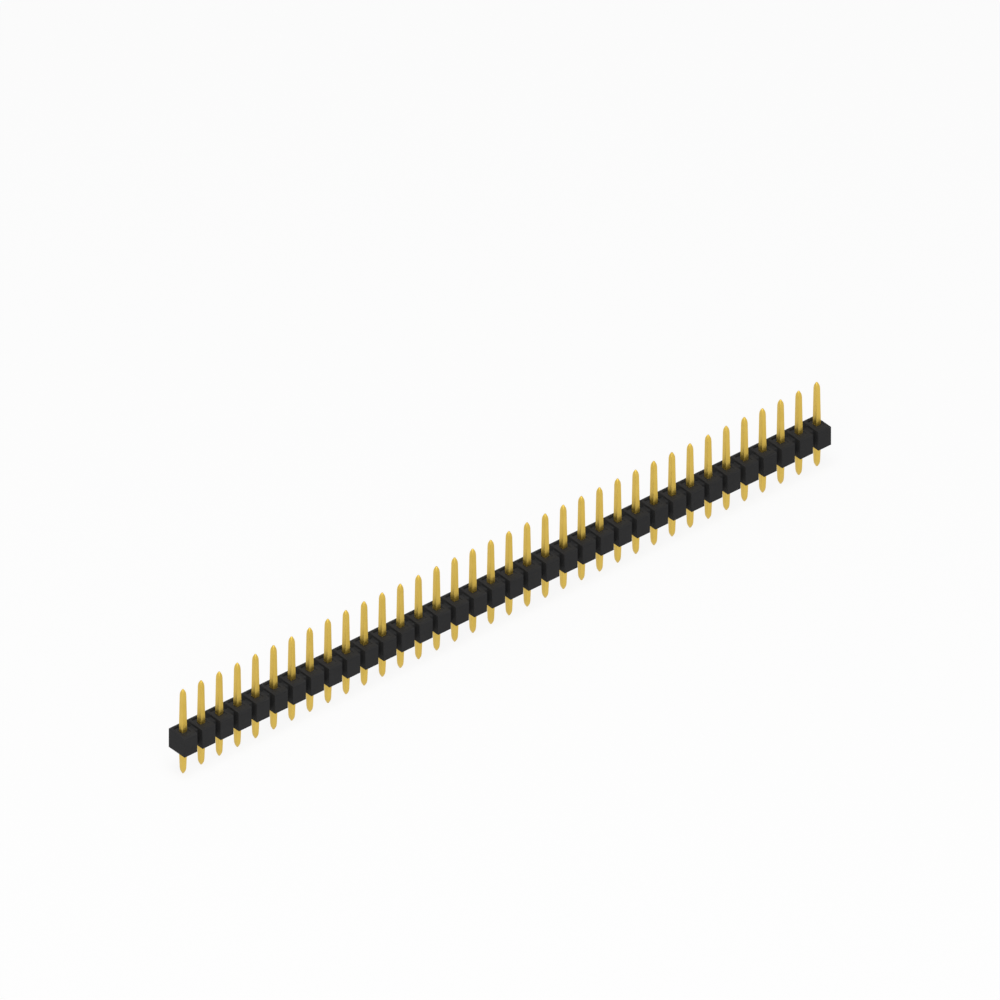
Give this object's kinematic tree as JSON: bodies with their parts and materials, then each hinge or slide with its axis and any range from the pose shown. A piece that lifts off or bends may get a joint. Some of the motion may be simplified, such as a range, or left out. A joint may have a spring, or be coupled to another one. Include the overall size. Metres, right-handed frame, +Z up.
{
  "type": "pin header strip",
  "caption": "Straight single-row pin header: square gold-plated posts held through a notched black plastic strip that breaks between pins.",
  "frame": {"origin": "middle of the housing's underside, on the plane of the circuit board it sits on and half-way along the row", "axes": "+X along the row of pins, +Y across the row towards the back, +Z up along the pins towards the mating posts"},
  "size_m": [0.0908, 0.0028, 0.011],
  "materials": {
    "housing_plastic": "black glass-filled moulding, fine satin grain",
    "pin_gold": "gold-plated copper alloy, bright drawn surface"
  },
  "bodies": {
    "root": {"housing": "housing_plastic", "pin_01": "pin_gold", "pin_02": "pin_gold", "pin_03": "pin_gold", "pin_04": "pin_gold", "pin_05": "pin_gold", "pin_06": "pin_gold", "pin_07": "pin_gold", "pin_08": "pin_gold", "pin_09": "pin_gold", "pin_10": "pin_gold", "pin_11": "pin_gold", "pin_12": "pin_gold", "pin_13": "pin_gold", "pin_14": "pin_gold", "pin_15": "pin_gold", "pin_16": "pin_gold", "pin_17": "pin_gold", "pin_18": "pin_gold", "pin_19": "pin_gold", "pin_20": "pin_gold", "pin_21": "pin_gold", "pin_22": "pin_gold", "pin_23": "pin_gold", "pin_24": "pin_gold", "pin_25": "pin_gold", "pin_26": "pin_gold", "pin_27": "pin_gold", "pin_28": "pin_gold", "pin_29": "pin_gold", "pin_30": "pin_gold", "pin_31": "pin_gold", "pin_32": "pin_gold", "pin_33": "pin_gold", "pin_34": "pin_gold", "pin_35": "pin_gold", "pin_36": "pin_gold"}
  },
  "joints": []
}
